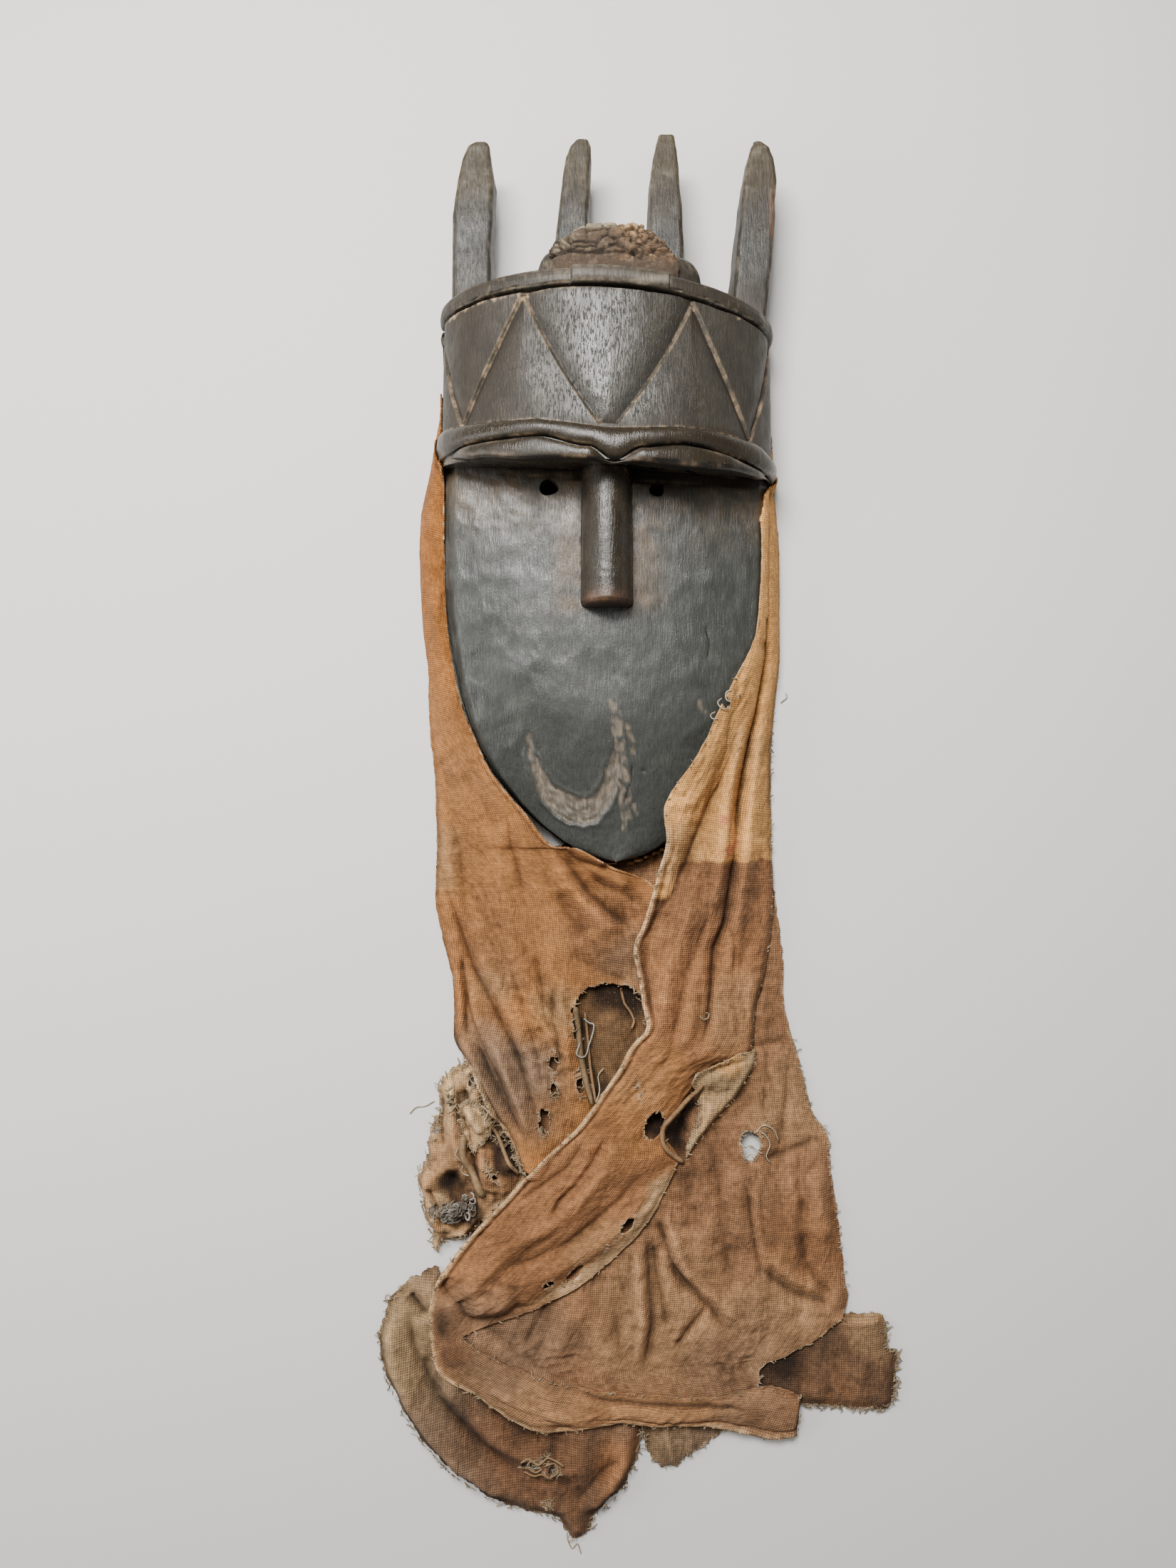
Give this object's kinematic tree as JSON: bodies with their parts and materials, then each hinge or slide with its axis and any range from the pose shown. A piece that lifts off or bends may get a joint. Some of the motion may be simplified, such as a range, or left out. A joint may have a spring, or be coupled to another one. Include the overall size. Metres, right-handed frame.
{
  "type": "carved mask",
  "caption": "Carved wooden face mask with a long nose, zigzag forehead and upright horns, hollow behind, lying face up in a worn cotton cape.",
  "frame": {"origin": "middle of the footprint of the whole part, on the ground plane that the hollow back's rim lies on", "axes": "+Z out of the face, up from the ground; +Y from the chin to the horns; +X to the right as one looks at the face"},
  "size_m": [0.4, 1.0484, 0.1058],
  "materials": {
    "dark_wood": "smoked and handled wood, almost black, satin, with adze dimples and worn brown edges",
    "crust": "thick cracked crust, dry and matte, with ochre and pale grains",
    "worn_cotton": "hand-woven cotton, matte, dyed brown with an undyed tan part, stained, torn and frayed"
  },
  "bodies": {
    "root": {"mask_body": "dark_wood", "crown_crust": "crust", "cape": "worn_cotton"}
  },
  "joints": []
}
